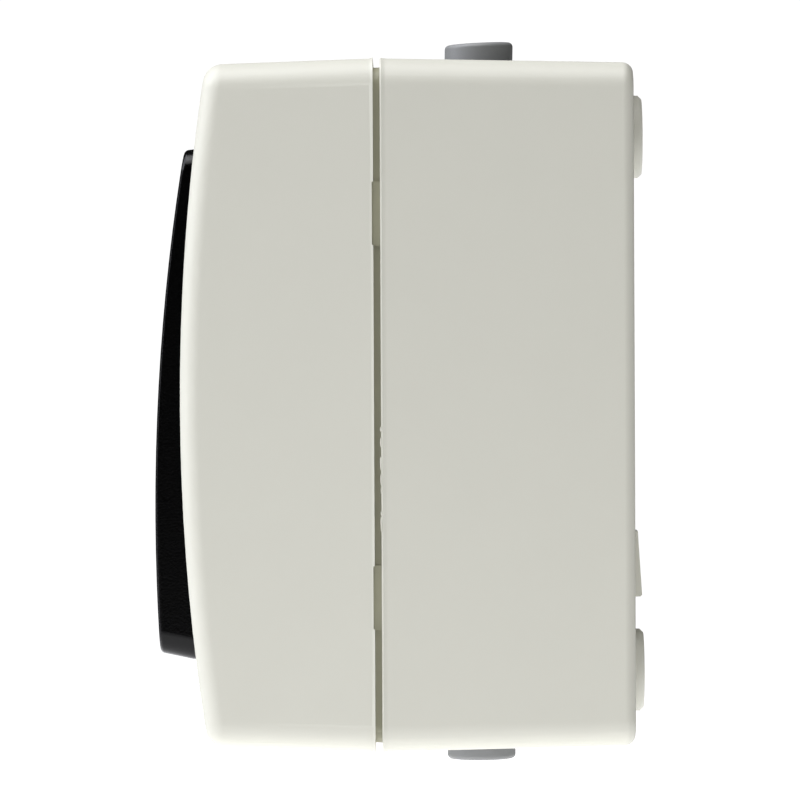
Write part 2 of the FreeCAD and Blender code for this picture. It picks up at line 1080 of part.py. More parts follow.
def terminal_block(x, z):
    """Brass terminal with its wire hole and threaded screw hole."""
    top = strip_front + terminal_depth
    body = block(
        (x - terminal_width / 2, x + terminal_width / 2),
        (z - terminal_height / 2, z + terminal_height / 2),
        (strip_front, top),
    )
    wire = Part.makeCylinder(
        wire_hole_radius,
        terminal_height + 2,
        point(x, z - terminal_height / 2 - 1, strip_front + terminal_depth / 3),
        Vector(0, 0, 1),
    )
    thread = post(
        terminal_screw_radius + screw_clearance,
        strip_front + terminal_depth / 3,
        top + 1,
        x,
        z,
    )
    return without(body, [wire, thread])


def terminal_screws():
    """The three terminal screws, raised ready for the wires."""
    seat = strip_front + terminal_depth + terminal_screw_raise
    return Part.makeCompound(
        [
            screw(
                x,
                z,
                seat,
                terminal_screw_radius,
                terminal_screw_length,
                terminal_screw_head_radius,
                terminal_screw_head_height,
            )
            for x, z in terminal_places().values()
        ]
    )


def insert_screws():
    """The two screws that hold the insert on the bosses of the box."""
    return Part.makeCompound(
        [
            screw(
                side * boss_x,
                0,
                insert_rear + lug_thickness,
                insert_screw_radius,
                insert_screw_length,
                insert_screw_head_radius,
                insert_screw_head_height,
            )
            for side in (-1, 1)
        ]
    )


def cap_screws():
    """The two small screws that hold the cap on the insert."""
    return Part.makeCompound(
        [
            screw(
                x,
                z,
                cap_front - cap_screw_head_height - screw_clearance,
                cap_screw_radius,
                cap_screw_length,
                cap_screw_head_radius,
                cap_screw_head_height,
            )
            for x, z in cap_screw_places()
        ]
    )


def housing_gasket():
    """Rubber ring squeezed between the box's spigot and the cover's ledge."""
    outer_inset = shoulder + gasket_clearance
    inner_inset = wall - gasket_clearance
    outer = prism(
        width - 2 * outer_inset,
        height - 2 * outer_inset,
        corner_radius - outer_inset,
        spigot_tip,
        cover_ledge,
    )
    inner = prism(
        width - 2 * inner_inset,
        height - 2 * inner_inset,
        inner_corner_radius,
        spigot_tip - 1,
        cover_ledge + 1,
    )
    return without(outer, [inner])


def insert_seal():
    """Flat rubber seal between the insert's cap and the cover's pan."""
    outer = prism(
        2 * (cap_half_width - seal_clearance),
        2 * (cap_half_height - seal_clearance),
        cap_corner_radius - seal_clearance,
        cap_front,
        pan_under,
    )
    inner = prism(
        2 * (neck_half_width + seal_clearance),
        2 * (neck_half_height + seal_clearance),
        cap_corner_radius - seal_clearance,
        cap_front - 1,
        pan_under + 1,
    )
    return without(outer, [inner])


def cable_grommet(side, nose_slope):
    """Rubber grommet that grips the wall, with a closed nose to be cut for a cable."""
    waist = entry_radius - grommet_clearance
    room = grommet_nose_radius * tan(radians(abs(nose_slope)))
    nose_top = grommet_nose_height + room
    profile = [
        (0, nose_top),
        (grommet_nose_radius, nose_top),
        (grommet_nose_radius, grommet_flange_thickness),
        (grommet_flange_radius - grommet_lead_in, grommet_flange_thickness),
        (grommet_flange_radius, grommet_flange_thickness - grommet_lead_in),
        (grommet_flange_radius, 0),
        (waist, 0),
        (waist, -wall),
        (grommet_flange_radius - grommet_step, -wall),
        (waist - grommet_lead_in, -wall - grommet_inner_lip),
        (waist - 2 * grommet_skin, -wall - grommet_inner_lip),
        (waist - 2 * grommet_skin, grommet_flange_thickness - grommet_skin),
        (grommet_nose_radius - grommet_skin, grommet_flange_thickness - grommet_skin),
        (grommet_nose_radius - grommet_skin, grommet_nose_height - room - grommet_skin),
        (0, grommet_nose_height - room - grommet_skin),
    ]
    points = [Vector(radius, 0, z) for radius, z in profile]
    face = Part.Face(Part.makePolygon(points + points[:1]))
    body = face.revolve(Vector(0, 0, 0), Vector(0, 0, 1), 360)
    reach = 2 * grommet_nose_radius
    slab = Part.makeBox(
        2 * reach, 2 * reach, reach, Vector(-reach, -reach, grommet_nose_height)
    )
    slab.rotate(
        Vector(0, 0, grommet_nose_height), Vector(1, 0, 0), side * nose_slope
    )
    body = without(body, [slab])
    rim = [
        edge
        for edge in body.Edges
        if edge.BoundBox.ZMin > grommet_nose_height - room - 1e-3
    ]
    body = body.makeFillet(grommet_nose_edge_radius, rim)
    return on_entry(body, side)


def build():
    """Every piece by name, at rest with the lower half of the rocker out."""
    nodes = {
        "back_box": back_box(),
        "front_cover": front_cover(),
        "housing_gasket": housing_gasket(),
        "cable_grommet_top": cable_grommet(1, nose_slope_top),
        "cable_grommet_bottom": cable_grommet(-1, nose_slope_bottom),
        "insert_base": insert_base(),
        "insert_cap": insert_cap(),
        "insert_seal": insert_seal(),
        "insert_screws": insert_screws(),
        "cap_screws": cap_screws(),
        "fixed_contact_upper": fixed_contact(1),
        "fixed_contact_lower": fixed_contact(-1),
        "fixed_contact_tips": contact_tips(strip_front, strip_front + tip_height),
        "lever_support": lever_support(),
        "terminal_screws": terminal_screws(),
    }
    for name, (x, z) in terminal_places().items():
        nodes["terminal_" + name] = terminal_block(x, z)
    for name, shape in {
        "rocker": rocker(),
        "actuator_cradle": actuator_cradle(),
        "plunger": plunger(),
        "plunger_spring": plunger_spring(),
    }.items():
        nodes[name] = tilted(shape, -tilt, pivot_depth)
    for name, shape in {
        "contact_lever": contact_lever(),
        "moving_contact_tips": contact_tips(lever_pivot - tip_height, lever_pivot),
    }.items():
        nodes[name] = tilted(shape, lever_tilt, lever_pivot)
    return nodes


def export(nodes):
    """Writes one file for each piece."""
    os.makedirs("parts", exist_ok=True)
    for name, shape in nodes.items():
        shape.exportStep("parts/" + name + ".step")
        bounds = shape.BoundBox
        print(
            f"{name:24s} solids {len(shape.Solids)} valid {shape.isValid()}"
            f" volume {shape.Volume:9.1f}"
            f" x {bounds.XMin:6.1f} {bounds.XMax:6.1f}"
            f" depth {-bounds.YMax:6.1f} {-bounds.YMin:6.1f}"
            f" z {bounds.ZMin:6.1f} {bounds.ZMax:6.1f}"
        )


export(build())
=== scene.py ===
"""Surface-mounted weatherproof rocker switch: finishes, small details, stage and camera.

Every length in the settings is in metres, with +Z up, the front of the switch facing -Y
and the wall plane at Y = 0.
"""

import json
import math

import bmesh
import bpy
from mathutils import Matrix, Vector


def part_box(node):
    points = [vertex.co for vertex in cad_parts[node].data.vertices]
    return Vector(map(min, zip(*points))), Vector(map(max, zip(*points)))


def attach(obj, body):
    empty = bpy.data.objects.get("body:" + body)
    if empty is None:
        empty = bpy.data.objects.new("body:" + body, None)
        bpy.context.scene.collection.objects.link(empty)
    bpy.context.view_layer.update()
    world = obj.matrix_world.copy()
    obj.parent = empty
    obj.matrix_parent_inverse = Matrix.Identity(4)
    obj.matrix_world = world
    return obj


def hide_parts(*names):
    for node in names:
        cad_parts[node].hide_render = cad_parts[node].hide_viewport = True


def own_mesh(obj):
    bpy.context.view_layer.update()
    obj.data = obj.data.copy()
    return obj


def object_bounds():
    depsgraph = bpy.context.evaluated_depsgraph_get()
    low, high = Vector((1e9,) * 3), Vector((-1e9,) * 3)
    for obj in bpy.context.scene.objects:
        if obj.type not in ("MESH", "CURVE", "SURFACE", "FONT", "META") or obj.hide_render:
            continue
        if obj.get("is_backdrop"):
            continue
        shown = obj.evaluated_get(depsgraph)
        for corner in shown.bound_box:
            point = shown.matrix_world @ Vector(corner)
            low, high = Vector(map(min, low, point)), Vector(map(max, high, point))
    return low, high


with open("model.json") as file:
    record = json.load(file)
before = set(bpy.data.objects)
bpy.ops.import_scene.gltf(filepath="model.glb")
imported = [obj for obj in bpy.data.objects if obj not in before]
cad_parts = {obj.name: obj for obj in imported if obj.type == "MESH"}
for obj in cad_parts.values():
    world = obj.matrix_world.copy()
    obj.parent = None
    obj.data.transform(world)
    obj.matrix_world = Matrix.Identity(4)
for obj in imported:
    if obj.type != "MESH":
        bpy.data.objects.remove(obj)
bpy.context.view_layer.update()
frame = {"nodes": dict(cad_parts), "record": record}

bl_info = {
    "name": "Weatherproof switch",
    "version": (1, 0, 0),
    "blender": (4, 5, 0),
    "location": "View3D > Sidebar > Switch",
    "description": "Dresses a surface-mounted weatherproof rocker switch",
    "category": "Object",
}

MM = 0.001

# A corner this near to the box's widest and foremost place belongs to its rim
RIM_REACH = 0.3 * MM
# Corners nearer to each other than this are one
WELD_REACH = 0.001 * MM
# Corners nearer to a cut than this lie on it
CUT_REACH = 0.0001 * MM

# Places along the lip, as parts of its length, where the mesh gets a row of corners
LIP_CUTS = (0.25, 0.45, 0.7, 1.0)
# Where the lip starts, just in front of the rim, as a part of its length
LIP_START = -0.01
# Power by which the lip falls off towards its end
LIP_FADE = 1.6
# Least length across the depth of a normal that belongs to the box's side
LEAST_SIDEWAYS = 0.3

# Part of a chip's radius by which it is sunk in the rim
FLASH_SUNK = 0.6
# Least and most that a chip is stretched in X, Y and Z
CHIP_LEAST = (0.7, 0.7, 1.5)
CHIP_MOST = (0.9, 1.5, 7.0)

# Width of the clouds in which a moulding's colour varies
MOTTLE_SIZE = 9 * MM
# Most values of a noise lie between these
NOISE_LOW = 0.3
NOISE_HIGH = 0.7
# Half the span of a moulding's roughness
GLOSS_SPREAD = 0.05
# Roughness that a metal's lines take away and add, and their depth
LINE_SMOOTHER = 0.1
LINE_ROUGHER = 0.12
LINE_DEPTH = 0.01 * MM
# Painted shade in the groove between the shells begins this far in front of the box's rim
GROOVE_SHADE_START = 0.02 * MM
# The cover's finish, without the painted groove shade, which the chips of flash share
UNSHADED_ASA = "CreamAsaMoulded"

# Part of the light table's radius that is fully lit
TABLE_FULL = 0.8
# Width and depth of the acrylic's soft unevenness
ACRYLIC_WAVE = 2 * MM
ACRYLIC_DEPTH = 0.05 * MM
# Strength at which the camera sees plain white
WHITE_SEEN = 1.05
# Middle of the switch, which the softboxes face
LIT_POINT = (0, -0.025, 0)
PLAIN_WHITE = (1.0, 1.0, 1.0)

# Colour sockets of the Mix node
MIX_A = 6
MIX_B = 7
MIX_RESULT = 2
# Number and vector sockets of the Random Value node
NUMBER_MIN = 2
NUMBER_MAX = 3
NUMBER_RESULT = 1
VECTOR_MIN = 0
VECTOR_MAX = 1
VECTOR_RESULT = 0


def linear(hex_colour):
    """An sRGB hex colour as linear RGBA."""
    channels = [int(hex_colour[i : i + 2], 16) / 255 for i in (1, 3, 5)]
    return [
        c / 12.92 if c <= 0.04045 else ((c + 0.055) / 1.055) ** 2.4 for c in channels
    ] + [1.0]


def colour_setting(name, description, hex_colour):
    """A colour that the user can change."""
    return bpy.props.FloatVectorProperty(
        name=name,
        description=description,
        subtype="COLOR",
        size=4,
        min=0.0,
        max=1.0,
        default=linear(hex_colour),
    )


def length_setting(name, description, millimetres):
    """A length that the user can change."""
    return bpy.props.FloatProperty(
        name=name,
        description=description,
        subtype="DISTANCE",
        unit="LENGTH",
        min=0.0,
        default=millimetres * MM,
        precision=5,
    )


class SwitchFinishes(bpy.types.PropertyGroup):
    """Colours and surface sizes of the switch."""

    shell: colour_setting("Shell", "Cream-white moulded shells", "#D9D8CC")
    # Groove: painted shade, a darker tone multiplied onto the box in front of its rim
    # where the groove between the shells lies in shade
    groove: colour_setting("Groove", "Tone of the dust in the shells' groove", "#CFCEBE")
    rocker: colour_setting("Rocker", "Black moulded rocker", "#020202")
    grommet: colour_setting("Grommets", "Grey rubber cable grommets", "#8B8C8C")
    seal: colour_setting("Seals", "Dark rubber seals", "#1E1E20")
    insert: colour_setting("Insert", "Grey thermoset of the insert", "#A9A9A4")
    slide: colour_setting("Slides", "Natural acetal of cradle and plunger", "#E8E8E2")
    brass: colour_setting("Brass", "Cut brass of the terminals", "#C9A756")
    copper: colour_setting("Copper", "Stamped copper of the contacts", "#C9835F")
    silver: colour_setting("Silver", "Silver contact tips", "#DAD8D2")
    zinc: colour_setting("Zinc", "Bright zinc of the screws", "#C8CCD0")
    wire: colour_setting("Wire", "Drawn wire of the plunger spring", "#B5B7BA")
    grain: length_setting("Grain", "Size of the shells' spark-eroded grain", 0.35)
    rocker_grain: length_setting("Rocker grain", "Size of the rocker's grain", 0.25)
    rubber_grain: length_setting("Rubber grain", "Size of the rubber's bloom", 0.6)


class SwitchDetails(bpy.types.PropertyGroup):
    """Smoothing of the mouldings, and the small details on the shells."""

    smooth_angle: bpy.props.FloatProperty(
        name="Smooth angle",
        description="Edges that turn by less than this are shaded as one surface",
        subtype="ANGLE",
        default=math.radians(32),
    )
    flat_angle: bpy.props.FloatProperty(
        name="Flat angle",
        description="Facets that turn by less than this are joined to one flat face",
        subtype="ANGLE",
        default=math.radians(0.05),
    )
    lip_rise: length_setting("Lip rise", "How far the box's rim stands out", 0.12)
    lip_length: length_setting("Lip length", "How far back the lip fades out", 0.7)
    flash_count: bpy.props.IntProperty(
        name="Flash chips",
        description="How many chips of mould flash stand on each side of the box's rim",
        default=12,
        min=0,
        max=60,
    )
    flash_size: length_setting("Flash size", "Radius of a chip of mould flash", 0.11)
    flash_low: length_setting("Flash low end", "Lowest chip, below mid-height", 15.0)
    flash_high: length_setting("Flash high end", "Highest chip, below mid-height", 2.0)
    flash_seed: bpy.props.IntProperty(
        name="Flash seed",
        description="Which scatter of chips is used",
        default=4,
        min=0,
    )


class SwitchStage(bpy.types.PropertyGroup):
    """Light table, lights and camera."""

    floor_colour: colour_setting("Floor", "Opal acrylic of the light table", "#FCFCFC")
    floor_drop: length_setting("Floor drop", "Floor below the lowest point", 60.0)
    floor_radius: length_setting("Floor radius", "Radius of the round floor", 3000.0)
    floor_glow: bpy.props.FloatProperty(
        name="Floor glow",
        description="How strongly the light table lights the switch",
        default=0.65,
        min=0.0,
    )
    table_radius: length_setting("Table radius", "Radius of the floor's lit part", 340.0)
    tent_glow: bpy.props.FloatProperty(
        name="Tent glow",
        description="How strongly the white surroundings light the switch",
        default=0.03,
        min=0.0,
    )
    lamp_colour: colour_setting(
        "Lamp colour", "Cool white of the lights at the front", "#F4F6FF"
    )
    distance: length_setting("Camera distance", "Camera to the near face", 600.0)
    aim_y: length_setting("Aim depth", "Distance of the aim from the wall", 26.45)
    aim_z: length_setting("Aim height", "Height of the aim over mid-height", 0.6)
    camera_z: length_setting("Camera height", "Camera over mid-height", 8.0)
    view_width: length_setting("View width", "Width seen at the near face", 86.1)
    roll: bpy.props.FloatProperty(
        name="Roll",
        description="How far the picture is turned",
        subtype="ANGLE",
        default=math.radians(-0.26),
    )


def finishes():
    """The scene's colours and surface sizes."""
    return bpy.context.scene.switch_finishes


def details():
    """The scene's smoothing and small details."""
    return bpy.context.scene.switch_details


def staging():
    """The scene's settings for table, lights and camera."""
    return bpy.context.scene.switch_stage


def add_node(tree, kind, inputs=None, links=None, **attributes):
    """Adds a node, sets its inputs and attributes, and links sockets into it."""
    node = tree.nodes.new(kind)
    for name, value in attributes.items():
        setattr(node, name, value)
    for name, value in (inputs or {}).items():
        node.inputs[name].default_value = value
    for name, socket in (links or {}).items():
        tree.links.new(socket, node.inputs[name])
    return node


def blank_material(name):
    """A named material with an empty tree and its output."""
    material = bpy.data.materials.new(name)
    material.use_nodes = True
    tree = material.node_tree
    tree.nodes.clear()
    output = add_node(tree, "ShaderNodeOutputMaterial")
    place = add_node(tree, "ShaderNodeTexCoord").outputs["Object"]
    return material, tree, output, place


def grain_scale(size):
    """Noise scale whose cells are about one grain wide."""
    smallest = 0.001 * MM
    return 1.0 / max(size, smallest)


def moulded_plastic(
    name, colour, grain, roughness, depth, mottle, ior=1.53, gloss_level=0.5, toned=None
):
    """Injection-moulded plastic with a spark-eroded grain and a faint mottle.

    A function given as toned may change the colour from place to place.
    """
    material, tree, output, place = blank_material(name)
    fine = add_node(
        tree,
        "ShaderNodeTexNoise",
        {"Scale": grain_scale(grain), "Detail": 3.0, "Roughness": 0.6},
        {"Vector": place},
    )
    broad = add_node(
        tree,
        "ShaderNodeTexNoise",
        {"Scale": grain_scale(MOTTLE_SIZE), "Detail": 2.0},
        {"Vector": place},
    )
    tint = add_node(
        tree,
        "ShaderNodeMapRange",
        {"To Min": 1.0 - mottle, "To Max": 1.0 + mottle},
        {"Value": broad.outputs["Fac"]},
    )
    shade = add_node(
        tree,
        "ShaderNodeMix",
        {"Factor": 1.0, MIX_A: colour},
        {MIX_B: tint.outputs["Result"]},
        data_type="RGBA",
        blend_type="MULTIPLY",
    )
    gloss = add_node(
        tree,
        "ShaderNodeMapRange",
        {
            "From Min": NOISE_LOW,
            "From Max": NOISE_HIGH,
            "To Min": roughness - GLOSS_SPREAD,
            "To Max": roughness + GLOSS_SPREAD,
        },
        {"Value": fine.outputs["Fac"]},
    )
    bump = add_node(
        tree,
        "ShaderNodeBump",
        {"Strength": 1.0, "Distance": depth},
        {"Height": fine.outputs["Fac"]},
    )
    seen_colour = shade.outputs[MIX_RESULT]
    if toned:
        seen_colour = toned(tree, place, seen_colour)
    surface = add_node(
        tree,
        "ShaderNodeBsdfPrincipled",
        {"IOR": ior, "Specular IOR Level": gloss_level},
        {
            "Base Color": seen_colour,
            "Roughness": gloss.outputs["Result"],
            "Normal": bump.outputs["Normal"],
        },
    )
    tree.links.new(surface.outputs["BSDF"], output.inputs["Surface"])
    return material


def worked_metal(name, colour, roughness, streak, closer):
    """Metal with fine marks of drawing, cutting or stamping.

    The marks are as wide as streak, and closer by the given factors in X, Y and Z.
    """
    material, tree, output, place = blank_material(name)
    stretch = add_node(tree, "ShaderNodeMapping", {"Scale": closer}, {"Vector": place})
    lines = add_node(
        tree,
        "ShaderNodeTexNoise",
        {"Scale": grain_scale(streak), "Detail": 4.0},
        {"Vector": stretch.outputs["Vector"]},
    )
    gloss = add_node(
        tree,
        "ShaderNodeMapRange",
        {"To Min": roughness - LINE_SMOOTHER, "To Max": roughness + LINE_ROUGHER},
        {"Value": lines.outputs["Fac"]},
    )
    bump = add_node(
        tree,
        "ShaderNodeBump",
        {"Strength": 0.5, "Distance": LINE_DEPTH},
        {"Height": lines.outputs["Fac"]},
    )
    surface = add_node(
        tree,
        "ShaderNodeBsdfPrincipled",
        {"Base Color": colour, "Metallic": 1.0},
        {"Roughness": gloss.outputs["Result"], "Normal": bump.outputs["Normal"]},
    )
    tree.links.new(surface.outputs["BSDF"], output.inputs["Surface"])
    return material


def painted_groove_shade(tree, place, colour):
    """Darkens the box in front of its rim with painted shade, which stands in for the
    shade in the groove between the shells.
    """
    rim = box_rim(frame["nodes"]["back_box"].data.vertices)[1]
    parts = add_node(tree, "ShaderNodeSeparateXYZ", links={"Vector": place})
    before_rim = add_node(
        tree,
        "ShaderNodeMath",
        {1: rim - GROOVE_SHADE_START},
        {0: parts.outputs["Y"]},
        operation="LESS_THAN",
    )
    tone = add_node(
        tree,
        "ShaderNodeMix",
        {MIX_B: finishes().groove},
        {"Factor": before_rim.outputs["Value"], MIX_A: colour},
        data_type="RGBA",
        blend_type="MULTIPLY",
    )
    return tone.outputs[MIX_RESULT]


def cream_asa(name, toned=None):
    """Cream-white ASA from a spark-eroded mould: satin, with a fine even grain."""
    return moulded_plastic(
        name,
        finishes().shell,
        finishes().grain,
        roughness=0.46,
        depth=0.006 * MM,
        mottle=0.012,
        toned=toned,
    )


def black_asa():
    """Black ASA from a spark-eroded mould: deep black, its edges catch soft light."""
    return moulded_plastic(
        "BlackAsaMoulded",
        finishes().rocker,
        finishes().rocker_grain,
        roughness=0.17,
        depth=0.014 * MM,
        mottle=0.1,
        gloss_level=0.2,
    )


def grey_tpe():
    """Grey thermoplastic rubber: matt, with a soft cloudy bloom."""
    return moulded_plastic(
        "GreyRubberMoulded",
        finishes().grommet,
        finishes().rubber_grain,
        roughness=0.5,
        depth=0.01 * MM,
        mottle=0.05,
    )


def dark_rubber():
    """Dark cellular rubber of the seals: matt, with small open pores."""
    return moulded_plastic(
        "DarkRubberPunched",
        finishes().seal,
        grain=0.3 * MM,
        roughness=0.75,
        depth=0.03 * MM,
        mottle=0.1,
    )


def grey_thermoset():
    """Grey mineral-filled thermoset of the insert: dry and slightly speckled."""
    return moulded_plastic(
        "GreyThermosetPressed",
        finishes().insert,
        grain=0.5 * MM,
        roughness=0.55,
        depth=0.006 * MM,
        mottle=0.06,
    )


def natural_acetal():
    """Uncoloured acetal of the sliding pieces: smooth and waxy."""
    return moulded_plastic(
        "NaturalAcetalMoulded",
        finishes().slide,
        grain=1.0 * MM,
        roughness=0.3,
        depth=0.002 * MM,
        mottle=0.01,
        ior=1.48,
    )


def cut_brass():
    """Brass bar cut to length: yellow, with fine saw lines across its height."""
    return worked_metal(
        "BrassCut",
        finishes().brass,
        roughness=0.3,
        streak=0.4 * MM,
        closer=(1.0, 1.0, 6.0),
    )


def stamped_copper():
    """Copper strip stamped from the roll: reddish, with rolling lines along it."""
    return worked_metal(
        "CopperStamped",
        finishes().copper,
        roughness=0.32,
        streak=0.4 * MM,
        closer=(6.0, 6.0, 1.0),
    )


def riveted_silver():
    """Riveted silver of the contact tips: pale and dull, with fine uneven marks."""
    return worked_metal(
        "SilverRiveted",
        finishes().silver,
        roughness=0.35,
        streak=0.3 * MM,
        closer=(1.0, 1.0, 1.0),
    )


def zinc_steel():
    """Steel plated with bright zinc: cool grey, with a faint grain all ways."""
    return worked_metal(
        "ZincPlatedSteel",
        finishes().zinc,
        roughness=0.28,
        streak=0.3 * MM,
        closer=(1.0, 1.0, 1.0),
    )


def spring_wire():
    """Drawn spring steel: grey and shiny, with the die's fine lines."""
    return worked_metal(
        "SpringSteelDrawn",
        finishes().wire,
        roughness=0.3,
        streak=0.2 * MM,
        closer=(1.0, 4.0, 1.0),
    )


def body_of_node(node):
    """Name of the body that a node of the frame moves with."""
    for body, members in frame["record"]["behaviour"]["bodies"].items():
        if node in members:
            return body
    raise ValueError(f"no body holds {node}")


def slot_of_node(node):
    """The record's material slot of a node."""
    for part in frame["record"]["subparts"]:
        if part["node"] == node:
            return part["material_slot"]
    raise ValueError(f"no slot for {node}")


def smoothed_copy(node, name, material, shape=None):
    """Stand-in for a node: its mesh welded and smoothed, in a material.

    A function given as shape may change the mesh before it is smoothed.
    """
    mesh = frame["nodes"][node].data.copy()
    mesh.name = name
    form = bmesh.new()
    form.from_mesh(mesh)
    bmesh.ops.remove_doubles(form, verts=form.verts, dist=WELD_REACH)
    bmesh.ops.dissolve_limit(
        form,
        angle_limit=details().flat_angle,
        verts=form.verts,
        edges=form.edges,
    )
    if shape:
        shape(form)
    for face in form.faces:
        face.smooth = True
    form.to_mesh(mesh)
    form.free()
    mesh.set_sharp_from_angle(angle=details().smooth_angle)
    piece = bpy.data.objects.new(name, mesh)
    bpy.context.scene.collection.objects.link(piece)
    weights = piece.modifiers.new("FaceWeights", "WEIGHTED_NORMAL")
    weights.mode = "FACE_AREA"
    weights.keep_sharp = True
    bake_modifiers(piece)
    piece.data.materials.clear()
    piece.data.materials.append(material)
    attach(piece, body_of_node(node))
    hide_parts(node)
    return piece


def bake_modifiers(piece):
    """Turns a piece with modifiers into a plain mesh."""
    bpy.context.view_layer.update()
    graph = bpy.context.evaluated_depsgraph_get()
    mesh = bpy.data.meshes.new_from_object(
        piece.evaluated_get(graph), preserve_all_data_layers=True, depsgraph=graph
    )
    piece.modifiers.clear()
    old = piece.data
    piece.data = mesh
    mesh.name = piece.name
    bpy.data.meshes.remove(old)


def finish_node(node, material):
    """Gives a node of the frame its material."""
    target = frame["nodes"][node]
    target.data.materials.clear()
    target.data.materials.append(material)


class SWITCH_OT_shells(bpy.types.Operator):
    """Back box and front cover in cream ASA"""

    bl_idname = "switch.shells"
    bl_label = "Shells"

    def execute(self, context):
        # The box's finish darkens in front of its rim: painted shade in the groove between
        # the shells
        groove_shaded_asa = cream_asa("CreamAsaDustyGroove", painted_groove_shade)
        smoothed_copy("back_box", "box_shell", groove_shaded_asa, raise_lip)
        smoothed_copy("front_cover", "cover_shell", cream_asa(UNSHADED_ASA))
        return {"FINISHED"}


def box_rim(corners):
    """Half-width and depth of the rim where the back box meets the cover."""
    widest = max(corner.co.x for corner in corners)
    outer = [corner.co for corner in corners if corner.co.x > widest - RIM_REACH]
    front = min(place.y for place in outer)
    half_width = max(place.x for place in outer if place.y < front + RIM_REACH)
    return half_width, front


def raise_lip(form):
    """Lifts the outside of the box into a thin lip that fades out behind its rim."""
    length = details().lip_length
    front = box_rim(form.verts)[1]
    for part in LIP_CUTS:
        bmesh.ops.bisect_plane(
            form,
            geom=form.verts[:] + form.edges[:] + form.faces[:],
            plane_co=(0, front + part * length, 0),
            plane_no=(0, 1, 0),
            dist=CUT_REACH,
        )
    form.normal_update()
    moves = []
    for corner in form.verts:
        back = (corner.co.y - front) / length
        outward = Vector((corner.normal.x, 0, corner.normal.z))
        faces_out = outward.dot((corner.co.x, 0, corner.co.z)) > 0
        on_side = faces_out and outward.length > LEAST_SIDEWAYS
        if LIP_START < back < 1 and on_side:
            height = (1 - max(back, 0)) ** LIP_FADE
            moves.append((corner, outward.normalized() * height))
    for corner, move in moves:
        corner.co += move * details().lip_rise


def flash_tree():
    """Tree that scatters chips along both sides of a rim, and its inputs' identifiers."""
    tree = bpy.data.node_groups.new("FlashChips", "GeometryNodeTree")
    sockets = {}
    for label, kind in (
        ("Count", "NodeSocketInt"),
        ("Seed", "NodeSocketInt"),
        ("Size", "NodeSocketFloat"),
        ("Side", "NodeSocketFloat"),
        ("Front", "NodeSocketFloat"),
        ("Low", "NodeSocketFloat"),
        ("High", "NodeSocketFloat"),
        ("Material", "NodeSocketMaterial"),
    ):
        socket = tree.interface.new_socket(label, in_out="INPUT", socket_type=kind)
        sockets[label] = socket.identifier
    tree.interface.new_socket(
        "Geometry", in_out="OUTPUT", socket_type="NodeSocketGeometry"
    )
    given = add_node(tree, "NodeGroupInput").outputs
    rows = [flash_row(tree, given, mirror) for mirror in (1.0, -1.0)]
    both = add_node(tree, "GeometryNodeJoinGeometry")
    for row in rows:
        tree.links.new(row, both.inputs["Geometry"])
    whole = add_node(
        tree,
        "GeometryNodeRealizeInstances",
        links={"Geometry": both.outputs["Geometry"]},
    )
    coated = add_node(
        tree,
        "GeometryNodeSetMaterial",
        links={"Geometry": whole.outputs["Geometry"], "Material": given["Material"]},
    )
    add_node(tree, "NodeGroupOutput", links={"Geometry": coated.outputs["Geometry"]})
    return tree, sockets


def flash_row(tree, given, mirror):
    """Nodes for the chips on one side: places at random heights, then small stones."""
    across = add_node(
        tree,
        "ShaderNodeMath",
        {1: mirror},
        {0: given["Side"]},
        operation="MULTIPLY",
    )
    height = add_node(
        tree,
        "FunctionNodeRandomValue",
        links={
            NUMBER_MIN: given["Low"],
            NUMBER_MAX: given["High"],
            "Seed": given["Seed"],
        },
        data_type="FLOAT",
    )
    place = add_node(
        tree,
        "ShaderNodeCombineXYZ",
        links={
            "X": across.outputs["Value"],
            "Y": given["Front"],
            "Z": height.outputs[NUMBER_RESULT],
        },
    )
    points = add_node(
        tree,
        "GeometryNodePoints",
        links={
            "Count": given["Count"],
            "Position": place.outputs["Vector"],
            "Radius": given["Size"],
        },
    )
    stone = add_node(
        tree,
        "GeometryNodeMeshIcoSphere",
        {"Subdivisions": 2},
        {"Radius": given["Size"]},
    )
    stretch = add_node(
        tree,
        "FunctionNodeRandomValue",
        {VECTOR_MIN: CHIP_LEAST, VECTOR_MAX: CHIP_MOST},
        {"Seed": given["Seed"]},
        data_type="FLOAT_VECTOR",
    )
    chips = add_node(
        tree,
        "GeometryNodeInstanceOnPoints",
        links={
            "Points": points.outputs["Points"],
            "Instance": stone.outputs["Mesh"],
            "Scale": stretch.outputs[VECTOR_RESULT],
        },
    )
    return chips.outputs["Instances"]


class SWITCH_OT_flash(bpy.types.Operator):
    """Chips of mould flash on the rim of the back box"""

    bl_idname = "switch.flash"
    bl_label = "Mould flash"

    def execute(self, context):
        side, front = box_rim(bpy.data.objects["box_shell"].data.vertices)
        tree, sockets = flash_tree()
        mesh = bpy.data.meshes.new("rim_flash")
        piece = bpy.data.objects.new("rim_flash", mesh)
        context.scene.collection.objects.link(piece)
        scatter = piece.modifiers.new("FlashChips", "NODES")
        scatter.node_group = tree
        values = {
            "Count": details().flash_count,
            "Seed": details().flash_seed,
            "Size": details().flash_size,
            "Side": side - FLASH_SUNK * details().flash_size,
            "Front": front,
            "Low": -details().flash_low,
            "High": -details().flash_high,
            "Material": bpy.data.materials[UNSHADED_ASA],
        }
        for label, value in values.items():
            scatter[sockets[label]] = value
        bake_modifiers(piece)
        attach(piece, body_of_node("back_box"))
        return {"FINISHED"}


class SWITCH_OT_rocker(bpy.types.Operator):
    """Black rocker"""

    bl_idname = "switch.rocker"
    bl_label = "Rocker"

    def execute(self, context):
        smoothed_copy("rocker", "rocker_plate", black_asa())
        return {"FINISHED"}


class SWITCH_OT_grommets(bpy.types.Operator):
    """Rubber grommets at the top and bottom"""

    bl_idname = "switch.grommets"
    bl_label = "Grommets"

    def execute(self, context):
        material = grey_tpe()
        smoothed_copy("cable_grommet_top", "grommet_upper", material)
        smoothed_copy("cable_grommet_bottom", "grommet_lower", material)
        return {"FINISHED"}


